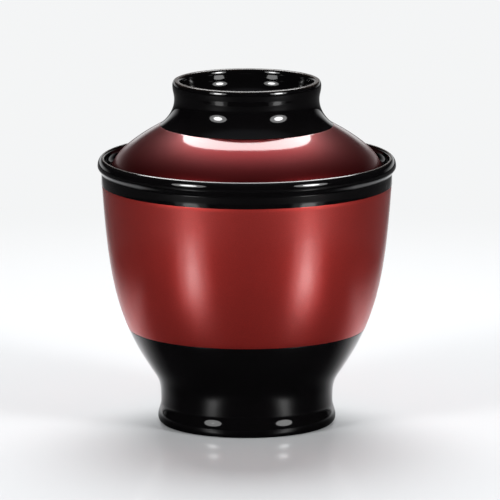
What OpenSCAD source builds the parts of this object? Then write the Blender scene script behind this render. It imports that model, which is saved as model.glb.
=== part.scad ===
// A small lidded soup bowl. Everything is turned about the Z axis: a black bowl on a tall waisted foot, and a
// black domed lid that drops into its rim and has a ring to hold it by. The belly of the bowl and the dome of
// the lid each carry a red coat, let into the black so that its surface is nearly flush.
// The bowl stands on z = 0. Every curve is a cubic, given by two ends and the two points it is drawn towards.

/* [Bowl] */
// Outer radius of the belly where it meets the black rim band
belly_r = 40.9; // [38:0.1:44]
// Height of the bowl, to the top of its rim
bowl_h = 75.9; // [70:0.1:84]
// Thickness of the wall
wall = 2.4; // [1.8:0.1:3.2]
// Thickness of the floor above the hollow of the foot
floor_t = 3.4; // [2.4:0.1:5]
// Height at which the belly springs from the foot
belly_z = 15.4; // [14:0.1:18]
// How far outside the foot's widest line the belly springs from the foot
belly_foot_out = 1.75; // [0.6:0.05:4]
// Height of the lower edge of the red coat
red_low_z = 27.4; // [20:0.1:40]

/* [Bowl foot] */
// Radius at the widest line of the foot, just above the table
foot_flare_r = 25.15; // [24:0.05:27]
// Height of that widest line
foot_flare_z = 1.75; // [1.2:0.05:2.6]
// Distance from that line in to the outer edge of the flat ring that the bowl stands on
foot_edge_in = 1.4; // [0.4:0.05:2]
// How far the waist of the foot is drawn in from its widest line
foot_waist_in = 0.85; // [0.3:0.05:1.5]
// Height of the foot's waist
foot_waist_z = 6.3; // [4:0.1:8]
// Width of the foot's wall at the table, from the outer edge of the flat ring in to the hollow's mouth
foot_wall = 1.8; // [1.4:0.05:2.8]
// Rounding of the hollow's mouth
foot_round = 0.45; // [0.2:0.05:0.7]
// Depth of the hollow in the foot
recess_h = 10.9; // [8:0.1:12]
// How much narrower the hollow is at its roof than at its mouth
recess_draft = 1.1; // [0.4:0.1:2]
// Rounding between the hollow's side and its roof
recess_round = 1.6; // [0.6:0.1:3]

/* [Bowl rim] */
// Height of the plain black band under the lip
band_h = 2.9; // [2:0.1:6]
// How far the black band stands proud of the red coat
band_step = 0.12; // [0.05:0.01:0.3]
// Height of the lip above the band
lip_h = 4.6; // [3.8:0.1:6]
// How far the lip stands out from the band
lip_out = 1.1; // [0.6:0.05:1.8]
// Height of the lip's rounded top above its widest line
lip_round_h = 2.3; // [1.4:0.05:2.8]
// Distance from the lip's widest line in to its crest
crest_in = 1.45; // [0.8:0.05:1.6]
// Width of the lip, from its widest line in to the mouth
lip_w = 2; // [1.7:0.05:2.6]
// Drop from the crest to the edge of the mouth
mouth_drop = 0.7; // [0.4:0.05:1.2]

/* [Lid] */
// Width of black rim that shows all round the lid
lid_margin = 1.9; // [1.2:0.05:2.8]
// How far the edge of the lid lies below the crest of the rim
lid_sink = 3.6; // [2.6:0.1:4.4]
// Clearance between the edge of the lid and its seat in the rim
lid_gap = 0.3; // [0.15:0.05:0.5]
// Thickness of the lid
lid_wall = 2; // [1.6:0.1:2.6]
// Height of the dome, from the edge of the lid to the foot of its ring
dome_h = 12.9; // [11:0.1:16]

/* [Lid ring] */
// Radius at the ring's widest line, under its top
ring_r = 21; // [19:0.05:22.4]
// How far the waist of the ring is drawn in from its widest line
ring_waist_in = 0.5; // [0.1:0.05:1.2]
// Height of the ring's waist above the dome
ring_waist_h = 7.2; // [5:0.05:8]
// How far outside the ring's widest line its foot meets the red coat of the dome
ring_foot_out = 3.45; // [2:0.05:5]
// Height of the ring above the dome
ring_h = 12.7; // [10:0.05:15]
// Height of the ring's rounded top above its widest line
ring_round_h = 1.5; // [0.8:0.05:2]
// Width of the ring's wall at its widest line
ring_wall = 2.3; // [1.8:0.05:3]
// Width of the flat on top of the ring, on which the lid rests when it is turned over
ring_flat = 0.8; // [0.4:0.05:1]
// Depth of the hollow inside the ring
ring_recess_h = 7.5; // [5:0.1:8.5]
// How much narrower that hollow is at its floor than at its mouth
ring_draft = 0.3; // [0.1:0.05:1.5]
// Rounding between the hollow's side and its floor
ring_recess_round = 5.2; // [1:0.1:6]
// Thickness of the lid in the middle of the ring
lid_middle_t = 2.2; // [1.6:0.1:2.8]

/* [Coat] */
// Thickness of the red coat
coat_t = 0.25; // [0.15:0.05:0.5]

/* [Hidden] */
turn_facets = 144;

// Points on one curve, for long, middling and short curves
long_n = 20;
mid_n = 9;
short_n = 5;
// Times that a curve is halved to find a height on it
halvings = 30;

black = [0.02, 0.02, 0.022];
red = [0.47, 0.13, 0.12];

// Where each curve is drawn towards, as shares of its own width or height
belly_low_share = 0.286;
belly_low_lean_share = 0.676;
belly_high_share = 0.48;
belly_high_lean_share = 0.067;
cove_low_share = 0.55;
cove_high_share = 0.34;
floor_fall_share = 0.68;
floor_flat_share = 0.6;
inside_low_share = 0.15;
inside_high_share = 0.84;
dome_high_share = 0.245;
dome_fall_share = 0.545;
dome_low_share = 0.418;
dome_low_lean_share = 0.032;
ring_cove_share = 0.585;
ring_cove_low_share = 0.075;
seat_share = 0.42;
round_share = 0.55;
ease_share = 0.4;

// A cubic curve: its point at t, its heading there, and the point beside it at distance d on its left
function point(c, t) =
    pow(1 - t, 3) * c[0] + 3 * pow(1 - t, 2) * t * c[1] + 3 * (1 - t) * t * t * c[2] + pow(t, 3) * c[3];
function heading(c, t) =
    let (v = pow(1 - t, 2) * (c[1] - c[0]) + 2 * (1 - t) * t * (c[2] - c[1]) + t * t * (c[3] - c[2]))
    v / norm(v);
function beside(c, t, d) = let (v = heading(c, t)) point(c, t) + d * [-v.y, v.x];

// The share t of an upward curve at which it reaches height z, found by halving
function share_at(c, z, low = 0, high = 1, left = halvings) =
    let (mid = (low + high) / 2)
    left == 0 ? mid
    : point(c, mid).y < z ? share_at(c, z, mid, high, left - 1)
    : share_at(c, z, low, mid, left - 1);

// The points of a curve after its first, from share a to share b, at distance d on its left
function along(c, n, a = 0, b = 1, d = 0) = [for (i = [1:n]) beside(c, a + (b - a) * i / n, d)];

// A curve that turns from one straight to another at their corner, and one with upright ends
function turn(from, corner, to) =
    [from, from + round_share * (corner - from), to + round_share * (corner - to), to];
function sway(from, to) =
    [from, from + ease_share * [0, to.y - from.y], to - ease_share * [0, to.y - from.y], to];

// Heights and radii of the bowl
band_z = bowl_h - lip_h - band_h;
lip_z = bowl_h - lip_h;
widest_z = bowl_h - lip_round_h;
band_r = belly_r + band_step;
lip_r = band_r + lip_out;
crest_r = lip_r - crest_in;
mouth_r = lip_r - lip_w;
mouth_z = bowl_h - mouth_drop;
foot_edge_r = foot_flare_r - foot_edge_in;
foot_waist_r = foot_flare_r - foot_waist_in;
belly_foot_r = foot_flare_r + belly_foot_out;
recess_mouth_r = foot_edge_r - foot_wall;
recess_roof_r = recess_mouth_r - recess_draft;
floor_z = recess_h + floor_t;

// Heights and radii of the lid
lid_r = mouth_r - lid_margin;
lid_z = bowl_h - lid_sink;
lid_edge_round = lid_wall / 2;
lid_edge_mid = [lid_r - lid_edge_round, lid_z];
dome_z = lid_z + dome_h;
ring_waist_z = dome_z + ring_waist_h;
ring_top_z = dome_z + ring_h;
ring_widest_z = ring_top_z - ring_round_h;
ring_waist_r = ring_r - ring_waist_in;
ring_foot_r = ring_r + ring_foot_out;
ring_mouth_r = ring_r - ring_wall;
ring_floor_r = ring_mouth_r - ring_draft;
ring_floor_z = ring_top_z - ring_recess_h;
ring_flat_mid_r = (ring_r + ring_mouth_r) / 2;
ceiling_z = ring_floor_z - lid_middle_t;

// The lid rests on a cone inside the rim, clear of the lid's round edge by the same gap all round
seat_slope = 45;
seat_mid = lid_edge_mid + (lid_edge_round + lid_gap) * [sin(seat_slope), -cos(seat_slope)];
seat_half = seat_share * lid_wall * [cos(seat_slope), sin(seat_slope)];
seat_low = seat_mid - seat_half;
seat_high = seat_mid + seat_half;

// Outside of the bowl, from the table upwards
foot_low = turn([foot_edge_r, 0], [foot_flare_r, 0], [foot_flare_r, foot_flare_z]);
foot_side = sway([foot_flare_r, foot_flare_z], [foot_waist_r, foot_waist_z]);
belly_foot = [belly_foot_r, belly_z];
belly_span = band_z - belly_z;
belly = [
    belly_foot,
    belly_foot + belly_low_share * belly_span * [belly_low_lean_share, 1],
    [belly_r, band_z] - belly_high_share * belly_span * [belly_high_lean_share, 1],
    [belly_r, band_z]
];
cove_span = belly_z - foot_waist_z;
cove = [
    [foot_waist_r, foot_waist_z],
    [foot_waist_r, foot_waist_z + cove_low_share * cove_span],
    belly_foot - cove_high_share * cove_span * [belly_low_lean_share, 1],
    belly_foot
];
lip_under = sway([band_r, lip_z], [lip_r, widest_z]);
lip_over = turn([lip_r, widest_z], [lip_r, bowl_h], [crest_r, bowl_h]);

// Inside of the bowl, from the crest of the rim down to the middle of the floor
lip_inner = turn([crest_r, bowl_h], [mouth_r, bowl_h], [mouth_r, mouth_z]);
flare = [
    [mouth_r, mouth_z],
    [mouth_r, mouth_z - ease_share * (mouth_z - seat_high.y)],
    seat_high + ease_share * [(mouth_r - seat_high.x) * ease_share, mouth_z - seat_high.y],
    seat_high
];
inside_top = beside(belly, inside_high_share, wall);
throat = [
    seat_low,
    seat_low - ease_share * [0, seat_low.y - inside_top.y],
    inside_top + ease_share * (seat_low.y - inside_top.y) * heading(belly, inside_high_share),
    inside_top
];
inside_foot = beside(belly, inside_low_share, wall);
inside_heading = heading(belly, inside_low_share);
floor_curve = [
    inside_foot,
    inside_foot - floor_fall_share * (inside_foot.y - floor_z) / inside_heading.y * inside_heading,
    [floor_flat_share * inside_foot.x, floor_z],
    [0, floor_z]
];

// Hollow of the foot, from its roof down to the table
recess_corner = turn([recess_roof_r - recess_round, recess_h], [recess_roof_r, recess_h],
                     [recess_roof_r, recess_h - recess_round]);
recess_edge = turn([recess_mouth_r, foot_round], [recess_mouth_r, 0], [recess_mouth_r + foot_round, 0]);

// Outside of the lid, from the flat on its ring down to its edge
ring_flat_out = [ring_flat_mid_r + ring_flat / 2, ring_top_z];
ring_flat_in = [ring_flat_mid_r - ring_flat / 2, ring_top_z];
ring_over = turn(ring_flat_out, [ring_r, ring_top_z], [ring_r, ring_widest_z]);
ring_side = sway([ring_r, ring_widest_z], [ring_waist_r, ring_waist_z]);
dome_top = [ring_foot_r, dome_z];
dome_span = lid_r - ring_foot_r;
ring_cove = [
    [ring_waist_r, ring_waist_z],
    [ring_waist_r, ring_waist_z - ring_cove_share * ring_waist_h],
    dome_top + ring_cove_low_share * (ring_foot_r - ring_waist_r) * [-1, dome_fall_share],
    dome_top
];
dome = [
    dome_top,
    dome_top + dome_high_share * dome_span * [1, -dome_fall_share],
    [lid_r, lid_z] + dome_low_share * dome_h * [-dome_low_lean_share, 1],
    [lid_r, lid_z]
];

// Edge and inside of the lid, from the edge up to the middle of the ceiling
edge_low = [lid_edge_mid.x, lid_z - lid_edge_round];
lid_inner_edge = beside(dome, 1, -lid_wall);
edge_out = turn([lid_r, lid_z], [lid_r, edge_low.y], edge_low);
edge_in = turn(edge_low, [lid_inner_edge.x, edge_low.y], lid_inner_edge);
dome_under = beside(dome, 0, -lid_wall);
ceiling = [
    dome_under,
    dome_under + round_share * (ceiling_z - dome_under.y) / dome_fall_share * [-1, dome_fall_share],
    [ease_share * dome_under.x, ceiling_z],
    [0, ceiling_z]
];

// Hollow of the ring, from the flat on top down to its floor
ring_inner = turn(ring_flat_in, [ring_mouth_r, ring_top_z], [ring_mouth_r, ring_widest_z]);
ring_corner = turn([ring_floor_r, ring_floor_z + ring_recess_round], [ring_floor_r, ring_floor_z],
                   [ring_floor_r - ring_recess_round, ring_floor_z]);

// Closed outlines of the four pieces, each on the +X side of the axis
red_share = share_at(belly, red_low_z);
bowl_outline = concat(
    [[0, recess_h], recess_corner[0]],
    along(recess_corner, short_n),
    [recess_edge[0]],
    along(recess_edge, short_n),
    [foot_low[0]],
    along(foot_low, short_n),
    along(foot_side, mid_n),
    along(cove, mid_n),
    along(belly, mid_n, 0, red_share),
    [beside(belly, red_share, coat_t)],
    along(belly, long_n, red_share, 1, coat_t),
    [[band_r, band_z], [band_r, lip_z]],
    along(lip_under, mid_n),
    along(lip_over, short_n),
    along(lip_inner, short_n),
    along(flare, short_n),
    [seat_low],
    along(throat, mid_n),
    along(belly, long_n, inside_high_share, inside_low_share, wall),
    along(floor_curve, mid_n)
);
bowl_coat_outline = concat(
    [point(belly, red_share)],
    along(belly, long_n, red_share, 1),
    [beside(belly, 1, coat_t)],
    along(belly, long_n, 1, red_share, coat_t)
);
lid_outline = concat(
    [[0, ring_floor_z], ring_corner[3]],
    [for (i = [1:short_n]) point(ring_corner, 1 - i / short_n)],
    [ring_inner[3]],
    [for (i = [1:short_n]) point(ring_inner, 1 - i / short_n)],
    [ring_flat_out],
    along(ring_over, short_n),
    along(ring_side, mid_n),
    along(ring_cove, mid_n),
    [beside(dome, 0, -coat_t)],
    along(dome, long_n, 0, 1, -coat_t),
    [[lid_r, lid_z]],
    along(edge_out, short_n),
    along(edge_in, short_n),
    along(dome, long_n, 1, 0, -lid_wall),
    along(ceiling, mid_n)
);
lid_coat_outline = concat(
    [dome_top],
    along(dome, long_n),
    [beside(dome, 1, -coat_t)],
    along(dome, long_n, 1, 0, -coat_t)
);

module turned(outline) {
    rotate_extrude($fn = turn_facets) polygon(outline);
}

// The bowl itself, black all over: foot, wall, floor, band and lip, with the shallow bed of the red coat
module bowl_body() {
    color(black) turned(bowl_outline);
}

// The red coat on the bowl's belly
module bowl_red_coat() {
    color(red) turned(bowl_coat_outline);
}

// The lid itself: its ring, its dome with the bed of the red coat, and its round edge
module lid_body() {
    color(black) turned(lid_outline);
}

// The red coat on the lid's dome
module lid_red_coat() {
    color(red) turned(lid_coat_outline);
}

bowl_body();
bowl_red_coat();
lid_body();
lid_red_coat();
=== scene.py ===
# %% [markdown]
# A small lacquered soup bowl with its lid on, standing on a white table under soft studio light.
# The real bowl is two turned pieces: a black bowl on a waisted foot, and a black domed lid that drops into
# the bowl's rim and is lifted by the ring on top. Each carries a dark red pearl coat, on the belly and on the
# dome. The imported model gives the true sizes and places. Here every piece is drawn again with a finer
# surface, because a gloss finish shows each facet, and then it gets its lacquer.

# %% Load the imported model
import math

import bpy
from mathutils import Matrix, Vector


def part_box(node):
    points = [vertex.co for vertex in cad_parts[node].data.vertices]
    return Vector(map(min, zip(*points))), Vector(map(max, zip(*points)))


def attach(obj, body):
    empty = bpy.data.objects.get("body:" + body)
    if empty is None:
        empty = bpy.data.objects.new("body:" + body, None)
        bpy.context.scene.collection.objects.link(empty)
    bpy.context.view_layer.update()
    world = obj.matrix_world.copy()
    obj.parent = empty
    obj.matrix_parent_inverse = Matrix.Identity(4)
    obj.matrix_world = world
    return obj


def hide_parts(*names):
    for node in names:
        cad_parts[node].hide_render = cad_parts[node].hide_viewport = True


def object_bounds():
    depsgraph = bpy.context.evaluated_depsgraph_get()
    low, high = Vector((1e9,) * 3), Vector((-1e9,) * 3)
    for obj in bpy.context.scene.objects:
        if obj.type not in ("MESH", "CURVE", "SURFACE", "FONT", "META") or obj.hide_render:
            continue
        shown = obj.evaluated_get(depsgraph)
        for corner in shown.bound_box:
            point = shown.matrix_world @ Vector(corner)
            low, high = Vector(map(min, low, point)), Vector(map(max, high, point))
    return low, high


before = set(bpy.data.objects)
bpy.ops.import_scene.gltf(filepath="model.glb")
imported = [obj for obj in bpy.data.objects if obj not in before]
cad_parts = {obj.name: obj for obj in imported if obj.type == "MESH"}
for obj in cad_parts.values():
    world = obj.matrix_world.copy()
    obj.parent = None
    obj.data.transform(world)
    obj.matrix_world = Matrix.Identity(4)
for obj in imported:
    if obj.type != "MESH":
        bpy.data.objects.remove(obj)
cad_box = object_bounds()
MM = 0.001
print("nodes:", sorted(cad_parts))
print("box in mm:", [[round(x / MM, 2) for x in corner] for corner in cad_box])

# %% [markdown]
# The camera stands about two metres away with a long lens, so the bowl is seen almost without perspective.
# It looks down by less than 11 degrees: the rim is a flat ellipse, and the inside of the ring on the lid just
# shows. It aims a millimetre beside the bowl's axis, because the bowl doesn't stand quite in the middle of
# the picture.

# %% Camera
CAMERA_ELEVATION = math.radians(10.75)
CAMERA_DISTANCE = 2.06
CAMERA_LENS_MM, CAMERA_SENSOR_MM = 524.8, 36
CAMERA_AIM = Vector((0.9 * MM, 0, 49.2 * MM))
camera_back = Vector((0, -math.cos(CAMERA_ELEVATION), math.sin(CAMERA_ELEVATION)))
bpy.ops.object.camera_add(
    location=CAMERA_AIM + CAMERA_DISTANCE * camera_back,
    rotation=(math.pi / 2 - CAMERA_ELEVATION, 0, 0),
)
camera = bpy.context.object
camera.data.lens = CAMERA_LENS_MM
camera.data.sensor_width = CAMERA_SENSOR_MM
bpy.context.scene.camera = camera
bpy.context.scene.view_settings.view_transform = "Standard"
print("camera at", [round(x, 3) for x in camera.location])

# %% [markdown]
# Materials here are node trees. Small helpers keep them short: one adds a node with its inputs filled in,
# another does a sum, and a third fades softly from 0 to 1. An input may be named, or numbered where a node
# has two of the same name.


# %% Helpers for node trees
def add_node(tree, kind, inputs=None, **settings):
    node = tree.nodes.new(kind)
    for setting, value in settings.items():
        setattr(node, setting, value)
    for socket, value in (inputs or {}).items():
        if isinstance(value, bpy.types.NodeSocket):
            tree.links.new(value, node.inputs[socket])
        else:
            node.inputs[socket].default_value = value
    return node


def math_node(tree, operation, *values):
    return add_node(tree, "ShaderNodeMath", dict(enumerate(values)), operation=operation).outputs[0]


def fade(tree, value, low, high):
    """0 where the value is low, 1 where it is high, with a soft change between. High may be the smaller."""
    node = add_node(tree, "ShaderNodeMapRange", {"Value": value, "From Min": low, "From Max": high})
    node.interpolation_type = "SMOOTHSTEP"
    return node.outputs["Result"]


def new_material(name):
    material = bpy.data.materials.new(name)
    material.use_nodes = True
    tree = material.node_tree
    tree.nodes.clear()
    return material, tree


print("node helpers ready")

# %% [markdown]
# The table is a smooth white board that curves away out of sight, so the background has no edge. A plain
# white plane does the same: near the bowl it is a real surface that takes the shadow and mirrors the foot a
# little, and further off it fades to an even white that only the camera and mirror rays see, as a lit
# backdrop would.

# %% White table
TABLE_SIZE = 8
TABLE_COLOUR = (0.64, 0.652, 0.664, 1)
TABLE_ROUGHNESS, TABLE_IOR = 0.12, 1.38
BACKDROP_WHITE = (0.905, 0.913, 0.918, 1)
BACKDROP_NEAR, BACKDROP_FAR = 0.12, 0.34
bpy.ops.object.select_all(action="DESELECT")
bpy.ops.mesh.primitive_plane_add(size=TABLE_SIZE)
table = bpy.context.object
table.name = "table"
material, tree = new_material("white_table")
table.data.materials.append(material)
light_path = add_node(tree, "ShaderNodeLightPath").outputs
mirrored = math_node(tree, "MAXIMUM", light_path["Is Glossy Ray"], light_path["Is Transmission Ray"])
seen = math_node(tree, "MAXIMUM", light_path["Is Camera Ray"], mirrored)
place = add_node(tree, "ShaderNodeTexCoord").outputs["Object"]
distance = add_node(tree, "ShaderNodeVectorMath", {0: place}, operation="LENGTH").outputs["Value"]
far_off = fade(tree, distance, BACKDROP_NEAR, BACKDROP_FAR)
white_board = add_node(tree, "ShaderNodeBsdfPrincipled", {
    "Base Color": TABLE_COLOUR, "Roughness": TABLE_ROUGHNESS, "IOR": TABLE_IOR,
})
backdrop = add_node(tree, "ShaderNodeEmission", {"Color": BACKDROP_WHITE, "Strength": 1})
lit = add_node(tree, "ShaderNodeMixShader", {
    0: math_node(tree, "MULTIPLY", seen, far_off), 1: white_board.outputs[0], 2: backdrop.outputs[0],
})
print("table:", TABLE_SIZE, "m square")

# %% [markdown]
# Black lacquer needs something dark to mirror, so towards the camera and the sides the mirror rays meet a
# dark board instead. The lamps show in its polish, and the streaks down the red belly are mirror images of
# that. The polish is best some 17 centimetres out, where the upper half of the belly sees it, and dull nearer
# and further.

# %% Dark board for mirror rays
ROOM_DARK = (0.002, 0.002, 0.0025, 1)
BOARD_IOR = 1.5
SIDES_NEAR, SIDES_FAR = 0.035, 0.15
FRONT_NEAR, FRONT_FAR = 0.05, -0.01
POLISHED_NEAR, POLISHED_FAR = (0.16, 0.07), (0.18, 0.215)
BEST_ROUGHNESS, ROUGHER_NEAR, ROUGHER_FAR = 0.13, 0.2, 0.5
sides = add_node(tree, "ShaderNodeSeparateXYZ", {0: place}).outputs
to_the_side = fade(tree, math_node(tree, "ABSOLUTE", sides["X"]), SIDES_NEAR, SIDES_FAR)
in_front = fade(tree, sides["Y"], FRONT_NEAR, FRONT_FAR)
rough_near = math_node(tree, "MULTIPLY", ROUGHER_NEAR, fade(tree, distance, *POLISHED_NEAR))
rough_far = math_node(tree, "MULTIPLY", ROUGHER_FAR, fade(tree, distance, *POLISHED_FAR))
board_roughness = math_node(tree, "ADD", BEST_ROUGHNESS, math_node(tree, "ADD", rough_near, rough_far))
dark_board = add_node(tree, "ShaderNodeBsdfPrincipled", {
    "Base Color": ROOM_DARK, "Roughness": board_roughness, "IOR": BOARD_IOR,
})
dark = math_node(tree, "MULTIPLY", mirrored, math_node(tree, "MAXIMUM", to_the_side, in_front))
shown = add_node(tree, "ShaderNodeMixShader", {0: dark, 1: lit.outputs[0], 2: dark_board.outputs[0]})
add_node(tree, "ShaderNodeOutputMaterial", {"Surface": shown.outputs[0]})
print("dark board: best polished", POLISHED_NEAR[0], "to", POLISHED_FAR[0], "m out")

# %% [markdown]
# Around the table is a studio. The camera would see white wherever it looked past the table. A mirror-like
# lacquer sees more: a lit white backdrop behind the bowl, and a dark room on the camera's side. That darkness
# is what makes black lacquer black, so mirror rays get their own picture of the room: white low down at the
# back, a dim grey ceiling, dark elsewhere. Plain light from all round, for everything matt, is weak and even.

# %% World
ROOM_LIGHT = (0.195, 0.196, 0.2, 1)
CEILING_GREY = (0.15, 0.16, 0.18, 1)
BEHIND, LOW_DOWN, OVERHEAD = (0.62, 0.93), (0.22, 0.05), (0.8, 0.96)
world = bpy.data.worlds.new("studio")
bpy.context.scene.world = world
world.use_nodes = True
tree = world.node_tree
tree.nodes.clear()
light_path = add_node(tree, "ShaderNodeLightPath").outputs
direction = add_node(tree, "ShaderNodeTexCoord").outputs["Generated"]
direction = add_node(tree, "ShaderNodeSeparateXYZ", {0: direction}).outputs
backdrop_share = math_node(
    tree, "MULTIPLY", fade(tree, direction["Y"], *BEHIND), fade(tree, direction["Z"], *LOW_DOWN))
room = add_node(tree, "ShaderNodeMix", data_type="RGBA", inputs={
    0: backdrop_share, 6: ROOM_DARK, 7: BACKDROP_WHITE,
}).outputs[2]
room = add_node(tree, "ShaderNodeMix", data_type="RGBA", inputs={
    0: fade(tree, direction["Z"], *OVERHEAD), 6: room, 7: CEILING_GREY,
}).outputs[2]
for_mirrors = add_node(tree, "ShaderNodeMix", data_type="RGBA", inputs={
    0: math_node(tree, "MAXIMUM", light_path["Is Glossy Ray"], light_path["Is Transmission Ray"]),
    6: ROOM_LIGHT, 7: room,
}).outputs[2]
for_camera = add_node(tree, "ShaderNodeMix", data_type="RGBA", inputs={
    0: light_path["Is Camera Ray"], 6: for_mirrors, 7: BACKDROP_WHITE,
}).outputs[2]
background = add_node(tree, "ShaderNodeBackground", {"Color": for_camera, "Strength": 1})
add_node(tree, "ShaderNodeOutputWorld", {"Surface": background.outputs[0]})
print("world: room light", ROOM_LIGHT[:3])

# %% [markdown]
# Three lights shape the bowl. A wide oval one hangs level above and behind it: it lights the table, throws
# the shadow forwards and is the white arc below the ring on the lid. Two round softboxes stand in front at
# the left and the right. They are the pairs of white spots on the black ring and, by way of the table's
# polish, the soft streaks on the red belly. A softbox is brightest in its middle, so each is a wide dim lamp
# with a small bright one just before it.

# %% Lamps
BOWL_MIDDLE = (cad_box[0] + cad_box[1]) / 2
HIGH_LAMP_PLACE = BOWL_MIDDLE + Vector((0, 0.942, 1))
HIGH_LAMP_WIDTH, HIGH_LAMP_DEPTH, HIGH_LAMP_RADIANCE = 1.0, 1.39, 11.6
SOFTBOX_ELEVATION = math.radians(24)
SOFTBOX_DISTANCE, SOFTBOX_WIDTH = 1.2, 0.56
MIDDLE_DISTANCE, MIDDLE_WIDTH = 1.18, 0.27
# Azimuth in degrees, radiance, and radiance of the bright middle.
SOFTBOXES = {"left_softbox": (-47, 5.4, 32), "right_softbox": (52, 6, 38)}


def oval_lamp(name, place, turn_to, width, depth, radiance):
    """An area lamp of a plain brightness, so that its mirror image looks as bright as it says."""
    bpy.ops.object.light_add(type="AREA", location=place, rotation=turn_to)
    light = bpy.context.object
    light.name = name
    light.data.shape = "ELLIPSE"
    light.data.size = width
    light.data.size_y = depth
    light.data.energy = radiance * math.pi * width * depth * math.pi / 4
    print(f"{name}: {width} x {depth} m, {light.data.energy:.1f} W")


def side_lamp(name, azimuth, distance, width, radiance):
    """A round lamp that faces the bowl. Azimuth 0 is the camera's side and 90 is +X."""
    a, e = math.radians(azimuth), SOFTBOX_ELEVATION
    towards = Vector((math.sin(a) * math.cos(e), -math.cos(a) * math.cos(e), math.sin(e)))
    facing = towards.to_track_quat("Z", "Y").to_euler()
    oval_lamp(name, BOWL_MIDDLE + distance * towards, facing, width, width, radiance)


oval_lamp("high_lamp", HIGH_LAMP_PLACE, (0, 0, 0), HIGH_LAMP_WIDTH, HIGH_LAMP_DEPTH, HIGH_LAMP_RADIANCE)
for name, (azimuth, radiance, middle_radiance) in SOFTBOXES.items():
    side_lamp(name, azimuth, SOFTBOX_DISTANCE, SOFTBOX_WIDTH, radiance)
    side_lamp(name + "_middle", azimuth, MIDDLE_DISTANCE, MIDDLE_WIDTH, middle_radiance)

# %% [markdown]
# A turned piece is fully told by its outline on one side of the axis. The outlines here are short cubic
# curves: two ends and two points that the curve is drawn towards. These helpers give a point on such a curve,
# its heading, and the line beside it at a fixed distance, which is how a wall keeps an even thickness.

# %% Curves
UPRIGHT_SHARE = 0.4
ROUND_SHARE = 0.55
HALVINGS = 30


def at(radius, height):
    return Vector((radius, height))


def point(curve, t):
    a, b, c, d = curve
    return (1 - t) ** 3 * a + 3 * (1 - t) ** 2 * t * b + 3 * (1 - t) * t * t * c + t**3 * d


def heading(curve, t):
    a, b, c, d = curve
    return ((1 - t) ** 2 * (b - a) + 2 * (1 - t) * t * (c - b) + t * t * (d - c)).normalized()


def beside(curve, t, distance):
    """The point beside the curve, to the left of its heading."""
    ahead = heading(curve, t)
    return point(curve, t) + distance * at(-ahead.y, ahead.x)


def along(curve, count, first=0, last=1, distance=0):
    """The points of a curve after its first."""
    return [beside(curve, first + (last - first) * i / count, distance) for i in range(1, count + 1)]


def turn(start, corner, end):
    """A curve that rounds a corner between two straights."""
    return start, start.lerp(corner, ROUND_SHARE), end.lerp(corner, ROUND_SHARE), end


def sway(start, end):
    """A curve that is upright at both its ends."""
    rise = at(0, UPRIGHT_SHARE * (end.y - start.y))
    return start, start + rise, end - rise, end


def share_at(curve, height):
    """How far along an upward curve it reaches a height, found by halving."""
    low, high = 0, 1
    for _ in range(HALVINGS):
        middle = (low + high) / 2
        low, high = (middle, high) if point(curve, middle).y < height else (low, middle)
    return low


print("curve helpers ready")

# %% [markdown]
# Turning the outline is done as by hand. A plane is added and merged to a single vertex, the vertex is moved
# to the outline's first point and extruded from point to point, and the line is spun round the axis. The spin
# leaves doubles at the seam and on the axis, so these are merged before the faces are made to point outwards.
# A narrow bevel then takes the edge off each sharp corner, as every sprayed edge has a little roundness.

# %% Turning
SPIN_STEPS = 192
MERGE_DISTANCE = 0.001 * MM
BEVEL_ANGLE, BEVEL_SEGMENTS = math.radians(40), 2
SHARP_ANGLE = math.radians(30)
LONG, MIDDLING, SHORT = 44, 22, 12


def turned(name, outline, edge_round):
    bpy.ops.object.select_all(action="DESELECT")
    bpy.ops.mesh.primitive_plane_add(size=MM)
    piece = bpy.context.object
    piece.name = name
    piece.data.name = name
    bpy.ops.object.mode_set(mode="EDIT")
    bpy.ops.mesh.select_mode(type="VERT")
    bpy.ops.mesh.merge(type="CENTER")
    here = outline[0]
    bpy.ops.transform.translate(value=(here.x, 0, here.y))
    for there in outline[1:]:
        step = there - here
        bpy.ops.mesh.extrude_region_move(TRANSFORM_OT_translate={"value": (step.x, 0, step.y)})
        here = there
    bpy.ops.mesh.select_all(action="SELECT")
    bpy.ops.mesh.spin(steps=SPIN_STEPS, angle=2 * math.pi, center=(0, 0, 0), axis=(0, 0, 1))
    bpy.ops.mesh.select_all(action="SELECT")
    bpy.ops.mesh.remove_doubles(threshold=MERGE_DISTANCE)
    bpy.ops.mesh.normals_make_consistent(inside=False)
    bpy.ops.object.mode_set(mode="OBJECT")
    bevel = piece.modifiers.new("edge_round", "BEVEL")
    bevel.width = edge_round
    bevel.segments = BEVEL_SEGMENTS
    bevel.limit_method = "ANGLE"
    bevel.angle_limit = BEVEL_ANGLE
    bpy.ops.object.modifier_apply(modifier=bevel.name)
    bpy.ops.object.shade_smooth_by_angle(angle=SHARP_ANGLE)
    print(f"{name}: {len(outline)} points, {len(piece.data.polygons)} faces")
    return piece


print("turning: one turn in", SPIN_STEPS, "steps")

# %% [markdown]
# The bowl's outside is drawn from the table upwards: a foot that flares at the table, a waist, a cove under
# the belly, the belly itself, a plain band, and a lip that stands out and rolls over. Heights and radii that
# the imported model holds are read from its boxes; the rest are this bowl's own small sizes.

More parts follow.
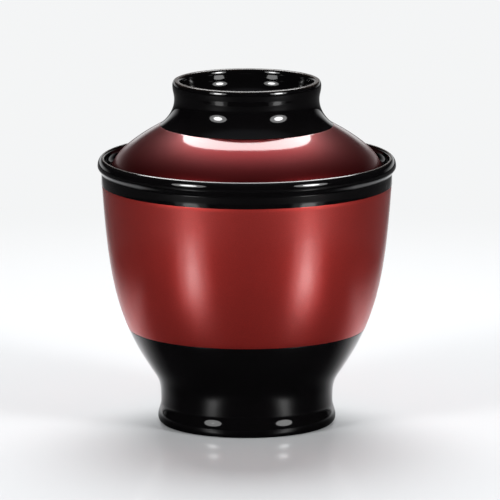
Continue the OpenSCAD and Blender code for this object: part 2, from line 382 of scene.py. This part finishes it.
# %% Bowl outline, outside
BAND_H, BAND_STEP = 2.9 * MM, 0.12 * MM
LIP_H, LIP_ROUND_H, CREST_IN, LIP_W, MOUTH_DROP = 4.6 * MM, 2.3 * MM, 1.45 * MM, 2.0 * MM, 0.7 * MM
FOOT_FLARE, FOOT_EDGE = at(25.15 * MM, 1.75 * MM), at(23.75 * MM, 0)
FOOT_WAIST, BELLY_FOOT = at(24.3 * MM, 6.3 * MM), at(26.9 * MM, 15.4 * MM)
BELLY_LOW_SHARE, BELLY_LOW_LEAN_SHARE = 0.286, 0.676
BELLY_HIGH_SHARE, BELLY_HIGH_LEAN_SHARE = 0.48, 0.067
COVE_LOW_SHARE, COVE_HIGH_SHARE = 0.55, 0.34
COAT = 0.25 * MM
bowl_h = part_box("bowl_body")[1].z
lip_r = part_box("bowl_body")[1].x
red_low_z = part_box("bowl_red_coat")[0].z
belly_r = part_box("bowl_red_coat")[1].x
lip_z = bowl_h - LIP_H
band_z = lip_z - BAND_H
band_r = belly_r + BAND_STEP
widest_z = bowl_h - LIP_ROUND_H
crest = at(lip_r - CREST_IN, bowl_h)
belly_top = at(belly_r, band_z)
belly_span = band_z - BELLY_FOOT.y
belly_lean = at(BELLY_LOW_LEAN_SHARE, 1)
belly = (
    BELLY_FOOT, BELLY_FOOT + BELLY_LOW_SHARE * belly_span * belly_lean,
    belly_top - BELLY_HIGH_SHARE * belly_span * at(BELLY_HIGH_LEAN_SHARE, 1), belly_top,
)
cove_span = BELLY_FOOT.y - FOOT_WAIST.y
cove = (
    FOOT_WAIST, FOOT_WAIST + at(0, COVE_LOW_SHARE * cove_span),
    BELLY_FOOT - COVE_HIGH_SHARE * cove_span * belly_lean, BELLY_FOOT,
)
red_share = share_at(belly, red_low_z)
print("belly: red from", round(red_low_z / MM, 1), "to", round(band_z / MM, 1), "mm")

# %% [markdown]
# Inside, the mouth is upright, then falls to a sloping seat that the lid's round edge rests on, and below it
# the wall follows the belly at an even thickness down to a round bottom.

# %% Bowl outline, inside
WALL, FLOOR_T, RECESS_H = 2.4 * MM, 3.4 * MM, 10.9 * MM
LID_WALL, LID_GAP = 2.0 * MM, 0.3 * MM
SEAT_SHARE = 0.42
INSIDE_LOW_SHARE, INSIDE_HIGH_SHARE = 0.15, 0.84
FLOOR_FALL_SHARE, FLOOR_FLAT_SHARE = 0.68, 0.6
lid_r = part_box("lid_red_coat")[1].x
lid_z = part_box("lid_red_coat")[0].z
mouth = at(lip_r - LIP_W, bowl_h - MOUTH_DROP)
seat_out = at(math.sqrt(0.5), -math.sqrt(0.5))
seat_along = at(math.sqrt(0.5), math.sqrt(0.5))
seat_middle = at(lid_r - LID_WALL / 2, lid_z) + (LID_WALL / 2 + LID_GAP) * seat_out
seat_low = seat_middle - SEAT_SHARE * LID_WALL * seat_along
seat_high = seat_middle + SEAT_SHARE * LID_WALL * seat_along
mouth_fall = UPRIGHT_SHARE * (mouth.y - seat_high.y)
flare = (
    mouth, mouth - at(0, mouth_fall),
    seat_high + at(UPRIGHT_SHARE**2 * (mouth.x - seat_high.x), mouth_fall), seat_high,
)
inside_top = beside(belly, INSIDE_HIGH_SHARE, WALL)
throat_fall = UPRIGHT_SHARE * (seat_low.y - inside_top.y)
throat = (
    seat_low, seat_low - at(0, throat_fall),
    inside_top + throat_fall * heading(belly, INSIDE_HIGH_SHARE), inside_top,
)
inside_foot = beside(belly, INSIDE_LOW_SHARE, WALL)
low_heading = heading(belly, INSIDE_LOW_SHARE)
floor_z = RECESS_H + FLOOR_T
fall = low_heading * (FLOOR_FALL_SHARE * (inside_foot.y - floor_z) / low_heading.y)
bottom = (inside_foot, inside_foot - fall, at(FLOOR_FLAT_SHARE * inside_foot.x, floor_z), at(0, floor_z))
print("seat for the lid at", round(seat_middle.y / MM, 2), "mm, radius", round(seat_middle.x / MM, 2), "mm")

# %% [markdown]
# Underneath, the foot is hollow, as a moulded foot has to be: a flat ring stands on the table, and inside it
# a recess rises with a little draft to a rounded corner and a flat roof.

# %% Bowl outline, underneath
RECESS_DRAFT, RECESS_ROUND = 1.1 * MM, 1.6 * MM
FOOT_WALL, FOOT_ROUND = 1.8 * MM, 0.45 * MM
recess_mouth_r = FOOT_EDGE.x - FOOT_WALL
recess_roof_r = recess_mouth_r - RECESS_DRAFT
recess_corner = turn(
    at(recess_roof_r - RECESS_ROUND, RECESS_H), at(recess_roof_r, RECESS_H),
    at(recess_roof_r, RECESS_H - RECESS_ROUND),
)
recess_edge = turn(
    at(recess_mouth_r, FOOT_ROUND), at(recess_mouth_r, 0), at(recess_mouth_r + FOOT_ROUND, 0),
)
print("recess:", round(RECESS_H / MM, 1), "mm high, radius", round(recess_mouth_r / MM, 2), "mm")

# %% [markdown]
# The two pieces of the bowl: the black body, with a shallow bed let into its belly, and the red coat that
# fills the bed. Each is one closed outline, so each turns into one closed solid.

# %% Bowl body and its red coat
EDGE_ROUND = 0.06 * MM
bowl_body = turned("black_bowl", [
    at(0, RECESS_H), recess_corner[0], *along(recess_corner, SHORT),
    recess_edge[0], *along(recess_edge, SHORT),
    FOOT_EDGE, *along(turn(FOOT_EDGE, at(FOOT_FLARE.x, 0), FOOT_FLARE), SHORT),
    *along(sway(FOOT_FLARE, FOOT_WAIST), MIDDLING),
    *along(cove, MIDDLING),
    *along(belly, MIDDLING, 0, red_share),
    beside(belly, red_share, COAT), *along(belly, LONG, red_share, 1, COAT),
    at(band_r, band_z), at(band_r, lip_z),
    *along(sway(at(band_r, lip_z), at(lip_r, widest_z)), MIDDLING),
    *along(turn(at(lip_r, widest_z), at(lip_r, bowl_h), crest), SHORT),
    *along(turn(crest, at(mouth.x, bowl_h), mouth), SHORT),
    *along(flare, SHORT), seat_low,
    *along(throat, MIDDLING),
    *along(belly, LONG, INSIDE_HIGH_SHARE, INSIDE_LOW_SHARE, WALL),
    *along(bottom, MIDDLING),
], EDGE_ROUND)
bowl_coat = turned("red_bowl_coat", [
    point(belly, red_share), *along(belly, LONG, red_share, 1),
    beside(belly, 1, COAT), *along(belly, LONG, 1, red_share, COAT),
    point(belly, red_share),
], EDGE_ROUND)

# %% [markdown]
# The lid is drawn the same way, from the hollow of its ring over the ring's rounded top, down its waisted
# neck and over the dome to the round edge, then back along the underside at the lid's own thickness.

# %% Lid outline, ring
RING_R, RING_WAIST_R, RING_FOOT_R = 21 * MM, 20.5 * MM, 24.45 * MM
RING_WAIST_H, RING_ROUND_H, RING_WALL = 7.2 * MM, 1.5 * MM, 2.3 * MM
RING_FLAT, RING_RECESS_H, RING_DRAFT, RING_CORNER = 0.8 * MM, 7.5 * MM, 0.3 * MM, 5.2 * MM
RING_COVE_SHARE, RING_COVE_LOW_SHARE = 0.585, 0.075
DOME_FALL_SHARE = 0.545
ring_top_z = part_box("lid_body")[1].z
dome_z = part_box("lid_red_coat")[1].z
waist = at(RING_WAIST_R, dome_z + RING_WAIST_H)
dome_top = at(RING_FOOT_R, dome_z)
neck = (
    waist, waist - at(0, RING_COVE_SHARE * RING_WAIST_H),
    dome_top + RING_COVE_LOW_SHARE * (RING_FOOT_R - RING_WAIST_R) * at(-1, DOME_FALL_SHARE), dome_top,
)
ring_side_top = at(RING_R, ring_top_z - RING_ROUND_H)
ring_middle_r = RING_R - RING_WALL / 2
flat_out = at(ring_middle_r + RING_FLAT / 2, ring_top_z)
flat_in = at(ring_middle_r - RING_FLAT / 2, ring_top_z)
ring_mouth_r = RING_R - RING_WALL
ring_floor_r, ring_floor_z = ring_mouth_r - RING_DRAFT, ring_top_z - RING_RECESS_H
ring_inner = turn(at(ring_mouth_r, ring_side_top.y), at(ring_mouth_r, ring_top_z), flat_in)
ring_corner = turn(
    at(ring_floor_r - RING_CORNER, ring_floor_z), at(ring_floor_r, ring_floor_z),
    at(ring_floor_r, ring_floor_z + RING_CORNER),
)
print("ring: top at", round(ring_top_z / MM, 2), "mm, hollow down to", round(ring_floor_z / MM, 2), "mm")

# %% Lid outline, dome and underside
LID_MIDDLE_T = 2.2 * MM
DOME_HIGH_SHARE, DOME_LOW_SHARE, DOME_LOW_LEAN_SHARE = 0.245, 0.418, 0.032
dome_edge = at(lid_r, lid_z)
dome_span, dome_h = lid_r - RING_FOOT_R, dome_z - lid_z
dome = (
    dome_top, dome_top + DOME_HIGH_SHARE * dome_span * at(1, -DOME_FALL_SHARE),
    dome_edge + DOME_LOW_SHARE * dome_h * at(-DOME_LOW_LEAN_SHARE, 1), dome_edge,
)
edge_low = at(lid_r - LID_WALL / 2, lid_z - LID_WALL / 2)
inner_edge = beside(dome, 1, -LID_WALL)
under = beside(dome, 0, -LID_WALL)
ceiling_z = ring_floor_z - LID_MIDDLE_T
ceiling = (
    under, under + ROUND_SHARE * (ceiling_z - under.y) / DOME_FALL_SHARE * at(-1, DOME_FALL_SHARE),
    at(UPRIGHT_SHARE * under.x, ceiling_z), at(0, ceiling_z),
)
print("dome from", round(dome_z / MM, 2), "down to", round(lid_z / MM, 2), "mm")

# %% Lid body and its red coat
lid_body = turned("black_lid", [
    at(0, ring_floor_z), ring_corner[0], *along(ring_corner, SHORT),
    ring_inner[0], *along(ring_inner, SHORT),
    flat_out, *along(turn(flat_out, at(RING_R, ring_top_z), ring_side_top), SHORT),
    *along(sway(ring_side_top, waist), MIDDLING),
    *along(neck, MIDDLING),
    beside(dome, 0, -COAT), *along(dome, LONG, 0, 1, -COAT),
    dome_edge, *along(turn(dome_edge, at(lid_r, edge_low.y), edge_low), SHORT),
    *along(turn(edge_low, at(inner_edge.x, edge_low.y), inner_edge), SHORT),
    *along(dome, LONG, 1, 0, -LID_WALL),
    *along(ceiling, MIDDLING),
], EDGE_ROUND)
lid_coat = turned("red_lid_coat", [
    dome_top, *along(dome, LONG),
    beside(dome, 1, -COAT), *along(dome, LONG, 1, 0, -COAT),
    dome_top,
], EDGE_ROUND)

# %% [markdown]
# Effects that both lacquers share are node groups, built once and placed in each material with its own
# values. A group needs sockets for what goes in and comes out, and its patterns read the place on the object,
# so that they stay put when a piece moves.


# %% Helpers for shared effects
def new_group(name, inputs, outputs):
    tree = bpy.data.node_groups.new(name, "ShaderNodeTree")
    for label, value in inputs.items():
        socket = tree.interface.new_socket(label, in_out="INPUT", socket_type="NodeSocketFloat")
        socket.default_value = value
    for label in outputs:
        tree.interface.new_socket(label, in_out="OUTPUT", socket_type="NodeSocketFloat")
    return tree, add_node(tree, "NodeGroupInput").outputs, add_node(tree, "NodeGroupOutput").inputs


def object_place(tree):
    return add_node(tree, "ShaderNodeTexCoord").outputs["Object"]


def noise(tree, scale, detail=2.0, roughness=0.5):
    return add_node(tree, "ShaderNodeTexNoise", {
        "Vector": object_place(tree), "Scale": scale, "Detail": detail, "Roughness": roughness,
    }).outputs["Fac"]


print("group helpers ready")

# %% [markdown]
# The first effect is the skin of a sprayed lacquer. It never dries quite flat, but in waves a millimetre or
# two across and a few thousandths high, which make a mirrored edge swim a little. A clear coat has the same
# skin on top. An exported model doesn't keep a coat's own normal, so no group goes there: the waves are a
# helper that fills the group, and that makes the same waves of plain nodes for the coat.

# %% Lacquer skin
SKIN_WAVES, SKIN_HEIGHT_MM = 420.0, 0.004
FINE_WAVES, FINE_HEIGHT = 4.5, 0.12


def skin_waves(tree, waves):
    """Broad waves with fine ones on them. Waves is how many there are to a metre, a number or a socket."""
    fine = noise(tree, math_node(tree, "MULTIPLY", waves, FINE_WAVES))
    return math_node(tree, "ADD", noise(tree, waves), math_node(tree, "MULTIPLY", fine, FINE_HEIGHT))


tree, given, result = new_group("lacquer_skin", {"Waves per metre": SKIN_WAVES}, ["Height"])
tree.links.new(skin_waves(tree, given["Waves per metre"]), result["Height"])
print("lacquer_skin made")

# %% [markdown]
# The second effect is rubbing: a soft mask round one circle of the piece, such as the ring it stands on. How
# far the mask reaches from the circle varies with a noise, so the rubbing looks broken and not drawn.

# %% Rubbed ring
RUB_NOISE, RUB_LEAST, RUB_FADE = (260.0, 5.0, 0.65), 0.45, (1.0, 0.25)


def length(tree, a, b):
    squares = math_node(tree, "ADD", math_node(tree, "MULTIPLY", a, a), math_node(tree, "MULTIPLY", b, b))
    return math_node(tree, "SQRT", squares)


tree, given, result = new_group("rubbed_ring", {"Radius": 0.02, "Height": 0.0, "Reach": 0.001}, ["Mask"])
place = add_node(tree, "ShaderNodeSeparateXYZ", {0: object_place(tree)}).outputs
across = math_node(tree, "SUBTRACT", length(tree, place["X"], place["Y"]), given["Radius"])
up = math_node(tree, "SUBTRACT", place["Z"], given["Height"])
away = length(tree, across, up)
broken = math_node(tree, "ADD", RUB_LEAST, noise(tree, *RUB_NOISE))
reach = math_node(tree, "MULTIPLY", given["Reach"], broken)
tree.links.new(fade(tree, math_node(tree, "DIVIDE", away, reach), *RUB_FADE), result["Mask"])
print("rubbed_ring made")

# %% [markdown]
# The third effect is dust, on whatever faces up: an uneven film with a few specks in it.

# %% Settled dust
FILM_NOISE, FILM_SHARE = (90.0, 3.0), 0.35
SPECK_NOISE, SPECK_FADE, SPECK_SHARE = (1900.0, 3.0, 0.7), (0.62, 0.74), 0.65
LEVEL_FADE = (0.3, 0.95)
tree, given, result = new_group("settled_dust", {"Amount": 0.5}, ["Mask"])
normal = add_node(tree, "ShaderNodeNewGeometry").outputs["Normal"]
lying = fade(tree, add_node(tree, "ShaderNodeSeparateXYZ", {0: normal}).outputs["Z"], *LEVEL_FADE)
specks = fade(tree, noise(tree, *SPECK_NOISE), *SPECK_FADE)
specks = math_node(tree, "MULTIPLY", specks, SPECK_SHARE)
film = math_node(tree, "ADD", math_node(tree, "MULTIPLY", noise(tree, *FILM_NOISE), FILM_SHARE), specks)
dust = math_node(tree, "MULTIPLY", math_node(tree, "MULTIPLY", film, lying), given["Amount"])
tree.links.new(dust, result["Mask"])
print("groups:", [group.name for group in bpy.data.node_groups])

# %% [markdown]
# A few more helpers place a group in a material, mix two colours, turn a height into a bump, and spread a
# pattern between two values.


# %% Finish helpers
def group_node(tree, name, inputs):
    node = tree.nodes.new("ShaderNodeGroup")
    node.node_tree = bpy.data.node_groups[name]
    for label, value in inputs.items():
        node.inputs[label].default_value = value
    return node.outputs[0]


def mix_colour(tree, share, first, second):
    return add_node(tree, "ShaderNodeMix", {0: share, 6: first, 7: second}, data_type="RGBA").outputs[2]


def bump(tree, height, height_mm):
    inputs = {"Height": height, "Strength": 1.0, "Distance": height_mm * MM}
    return add_node(tree, "ShaderNodeBump", inputs).outputs[0]


def spread(tree, value, low, high):
    node = add_node(tree, "ShaderNodeMapRange", {"Value": value, "To Min": low, "To Max": high})
    return node.outputs["Result"]


def worn(tree, rings):
    """One mask for all the rubbed circles of a piece. Each ring is its radius, height and reach."""
    total = 0.0
    for radius, height, reach in rings:
        ring = group_node(tree, "rubbed_ring", {"Radius": radius, "Height": height, "Reach": reach})
        total = math_node(tree, "MAXIMUM", total, ring)
    return total


print("finish helpers ready")

# %% [markdown]
# Black lacquer is the simplest finish to describe and the least forgiving to look at: almost no colour of its
# own, and a surface so smooth that all one sees is the room. The little it has beside that is a faint brown
# where it is rubbed thin, a haze of handling in its roughness, and the swim of its skin.

# %% Black lacquer
BLACK = (0.002, 0.0018, 0.002, 1)
BLACK_RUBBED = (0.028, 0.018, 0.013, 1)
DUST_GREY = (0.30, 0.29, 0.27, 1)
BLACK_IOR, BLACK_DUST = 1.42, 0.02
RUBBED_SHARE, RUBBED_ROUGHNESS = 0.7, 0.22
HANDLING_NOISE, HANDLING_ROUGHNESS = (55.0, 4.0), (0.035, 0.075)


def black_lacquer(name, rings):
    material, tree = new_material(name)
    rubbed = worn(tree, rings)
    dust = group_node(tree, "settled_dust", {"Amount": BLACK_DUST})
    colour = mix_colour(tree, math_node(tree, "MULTIPLY", rubbed, RUBBED_SHARE), BLACK, BLACK_RUBBED)
    haze = spread(tree, noise(tree, *HANDLING_NOISE), *HANDLING_ROUGHNESS)
    skin = group_node(tree, "lacquer_skin", {"Waves per metre": SKIN_WAVES})
    lacquer = add_node(tree, "ShaderNodeBsdfPrincipled", {
        "Base Color": mix_colour(tree, dust, colour, DUST_GREY),
        "Roughness": math_node(tree, "ADD", haze, math_node(tree, "MULTIPLY", rubbed, RUBBED_ROUGHNESS)),
        "IOR": BLACK_IOR,
        "Normal": bump(tree, skin, SKIN_HEIGHT_MM),
    })
    add_node(tree, "ShaderNodeOutputMaterial", {"Surface": lacquer.outputs[0]})
    print(name, "with", len(rings), "rubbed rings")
    return material


foot_rub = (FOOT_EDGE.x - FOOT_WALL / 2, 0, 1.6 * MM)
rim_rub = (crest.x, bowl_h, 0.5 * MM)
ring_rub = (ring_middle_r, ring_top_z, 1.1 * MM)
bowl_black = black_lacquer("black_lacquer_bowl", [foot_rub, rim_rub])
lid_black = black_lacquer("black_lacquer_lid", [ring_rub])

# %% [markdown]
# The red is a pearl lacquer: a dark red with fine mica flakes that all lie nearly flat, under a clear coat.
# The flakes give a broad satin glow that keeps the red's own colour, and the clear coat adds a thin mirror on
# top. A metallic base with a middling roughness is the flakes, and the shader's own coat layer is the clear
# coat. The belly has flakes in its clear coat too, so that coat mirrors more strongly and less sharply than
# the lid's. The coat was sprayed on from above: it is full high up on each piece and thins towards the
# piece's lower edge.

# %% Red pearl lacquer
# The belly and the dome carry one lacquer, given here as lit and shaded copies. The belly's red is painted
# light, several times brighter than the dome's, and the dome's red is painted shade.
BELLY_RED_WITH_PAINTED_LIGHT = ((0.58, 0.044, 0.036, 1), (0.77, 0.062, 0.052, 1))
DOME_RED_WITH_PAINTED_SHADE = ((0.105, 0.007, 0.008, 1), (0.15, 0.010, 0.011, 1))
RED_IOR, RED_DUST = 1.5, 0.012
FLAKE_NOISE, FLAKE_FADE, CLOUD_NOISE = (5200.0, 2.0, 0.6), (0.35, 0.65), (60.0, 3.0)
TONE_SHARE, FLAKE_ROUGHNESS_VARIES = 0.5, 0.04
FLAKE_WAVES, FLAKE_HEIGHT_MM = 520.0, 0.0035
BELLY_FULL_COAT_H = 34 * MM
DOME_THIN_COAT_DROP, DOME_FULL_COAT_DROP = 7.7 * MM, 3.7 * MM


def red_lacquer(
    name, reds, flakes_share, flake_roughness, coat_ior, coat_roughness, coat_heights, coat_shares
):
    """Reds are the darkest and the brightest. From the first height to the second, the coat's share grows."""
    material, tree = new_material(name)
    flakes = noise(tree, *FLAKE_NOISE)
    clouds = noise(tree, *CLOUD_NOISE)
    tone = math_node(tree, "ADD", fade(tree, flakes, *FLAKE_FADE), clouds)
    tone = math_node(tree, "MULTIPLY", tone, TONE_SHARE)
    dust = group_node(tree, "settled_dust", {"Amount": RED_DUST})
    roughness = (flake_roughness - FLAKE_ROUGHNESS_VARIES, flake_roughness + FLAKE_ROUGHNESS_VARIES)
    up = add_node(tree, "ShaderNodeSeparateXYZ", {0: object_place(tree)}).outputs["Z"]
    skin = group_node(tree, "lacquer_skin", {"Waves per metre": FLAKE_WAVES})
    lacquer = add_node(tree, "ShaderNodeBsdfPrincipled", {
        "Base Color": mix_colour(tree, dust, mix_colour(tree, tone, *reds), DUST_GREY),
        "Metallic": flakes_share,
        "Roughness": spread(tree, flakes, *roughness),
        "IOR": RED_IOR,
        "Coat Weight": spread(tree, fade(tree, up, *coat_heights), *coat_shares),
        "Coat Roughness": coat_roughness,
        "Coat IOR": coat_ior,
        "Normal": bump(tree, skin, FLAKE_HEIGHT_MM),
        "Coat Normal": bump(tree, skin_waves(tree, SKIN_WAVES), SKIN_HEIGHT_MM),
    })
    add_node(tree, "ShaderNodeOutputMaterial", {"Surface": lacquer.outputs[0]})
    print(name, "made")
    return material


bowl_red = red_lacquer(
    "red_pearl_bowl", BELLY_RED_WITH_PAINTED_LIGHT, flakes_share=0.88, flake_roughness=0.42, coat_ior=1.8, coat_roughness=0.16,
    coat_heights=(red_low_z, red_low_z + BELLY_FULL_COAT_H), coat_shares=(0.55, 1.0),
)
lid_red = red_lacquer(
    "red_pearl_lid", DOME_RED_WITH_PAINTED_SHADE, flakes_share=0.95, flake_roughness=0.36, coat_ior=1.5, coat_roughness=0.06,
    coat_heights=(dome_z - DOME_THIN_COAT_DROP, dome_z - DOME_FULL_COAT_DROP), coat_shares=(0.12, 1.0),
)

# %% [markdown]
# Each finish goes on its piece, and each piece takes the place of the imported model's node of the same kind
# and moves with the same body, so the lid lifts off with its coat.

# %% Put the pieces in the frame
PIECES = (
    (bowl_body, bowl_black, "bowl", "bowl_body", "black_lacquer"),
    (bowl_coat, bowl_red, "bowl", "bowl_red_coat", "red_lacquer"),
    (lid_body, lid_black, "lid", "lid_body", "black_lacquer"),
    (lid_coat, lid_red, "lid", "lid_red_coat", "red_lacquer"),
)
for piece, finish, body, node, slot in PIECES:
    piece.data.materials.append(finish)
    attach(piece, body)
    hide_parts(node)
print("pieces in place:", [piece.name for piece, *_ in PIECES])
